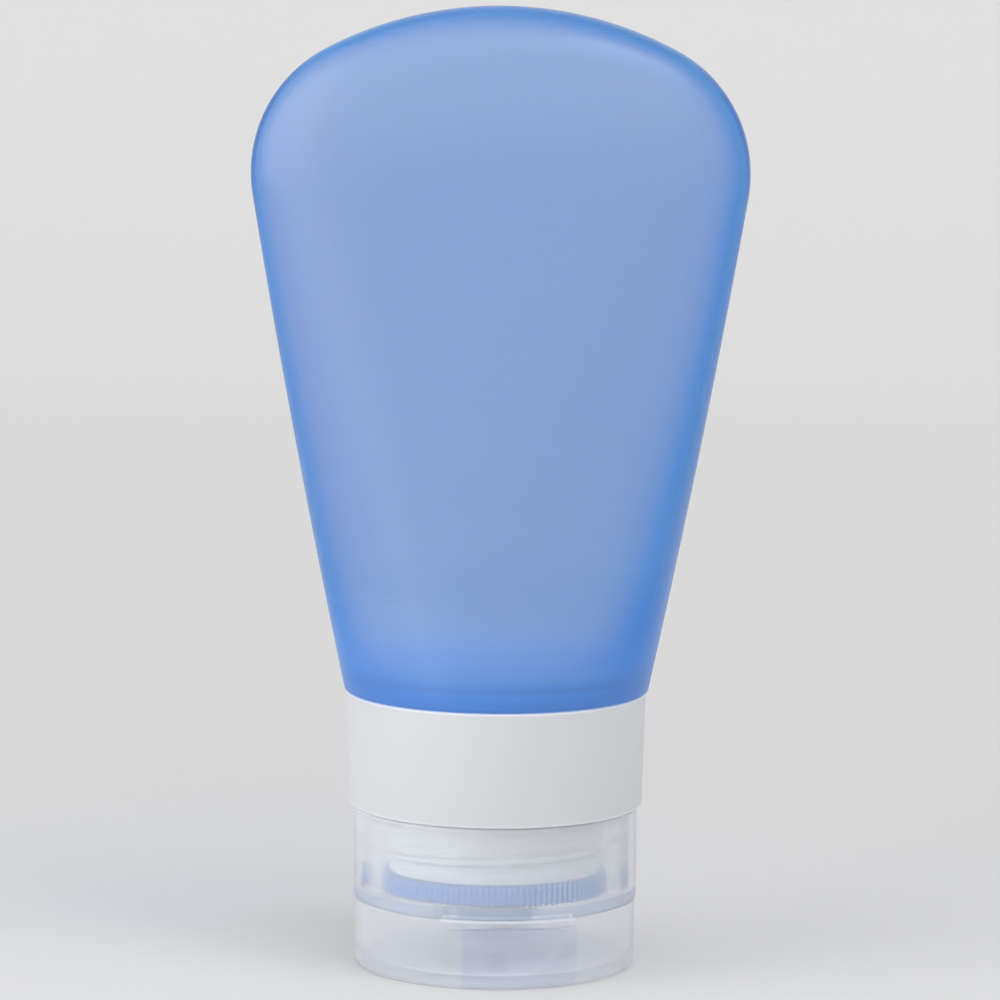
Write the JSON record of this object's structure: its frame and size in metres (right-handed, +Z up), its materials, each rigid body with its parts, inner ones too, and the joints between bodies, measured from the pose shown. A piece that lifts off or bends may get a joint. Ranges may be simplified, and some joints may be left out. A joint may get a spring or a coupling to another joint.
{
  "type": "travel silicone bottle",
  "caption": "Soft fan-shaped squeeze bottle standing on its flip lid, with a collar ring, a threaded neck and a frosted screw cap.",
  "frame": {"origin": "centre of the lid's flat end, which the bottle stands on", "axes": "+Z up towards the closed end of the body, front towards -Y, lid hinge at the back towards +Y, the flat body's width along X"},
  "size_m": [0.0682, 0.0418, 0.1325],
  "materials": {
    "blue_silicone": "frosted translucent silicone",
    "blue_seal": "satin silicone",
    "milky_plastic": "milky satin polypropylene",
    "white_plastic": "satin polypropylene",
    "frosted_plastic": "frosted translucent polypropylene"
  },
  "bodies": {
    "bottle": {"silicone_body": "blue_silicone", "neck_ring": "white_plastic", "collar_ring": "milky_plastic"},
    "seal": {"sealing_gasket": "blue_seal"},
    "cap": {"cap_base": "frosted_plastic", "drip_valve": "blue_seal", "valve_retainer": "white_plastic", "hinge_strap": "frosted_plastic"},
    "lid": {"flip_lid": "frosted_plastic"}
  },
  "joints": [
    {"name": "cap_lift", "type": "slide", "parent": "bottle", "child": "seal", "axis": [0, 0, -1], "range_m": [0, 0.00885]},
    {"name": "cap_turn", "type": "hinge", "parent": "seal", "child": "cap", "pos_m": [0, 0, 0], "axis": [0, 0, -1], "range_deg": [0, 900]},
    {"name": "lid_hinge", "type": "hinge", "parent": "cap", "child": "lid", "pos_m": [-0.00214, 0.02039, 0.00955], "axis": [0.9945, 0.1045, 0], "range_deg": [0, 150], "deforming": ["hinge_strap"]}
  ],
  "couplings": [
    {"joint": "cap_lift", "follows": "cap_turn", "m_per_rad": 0.00055704}
  ]
}
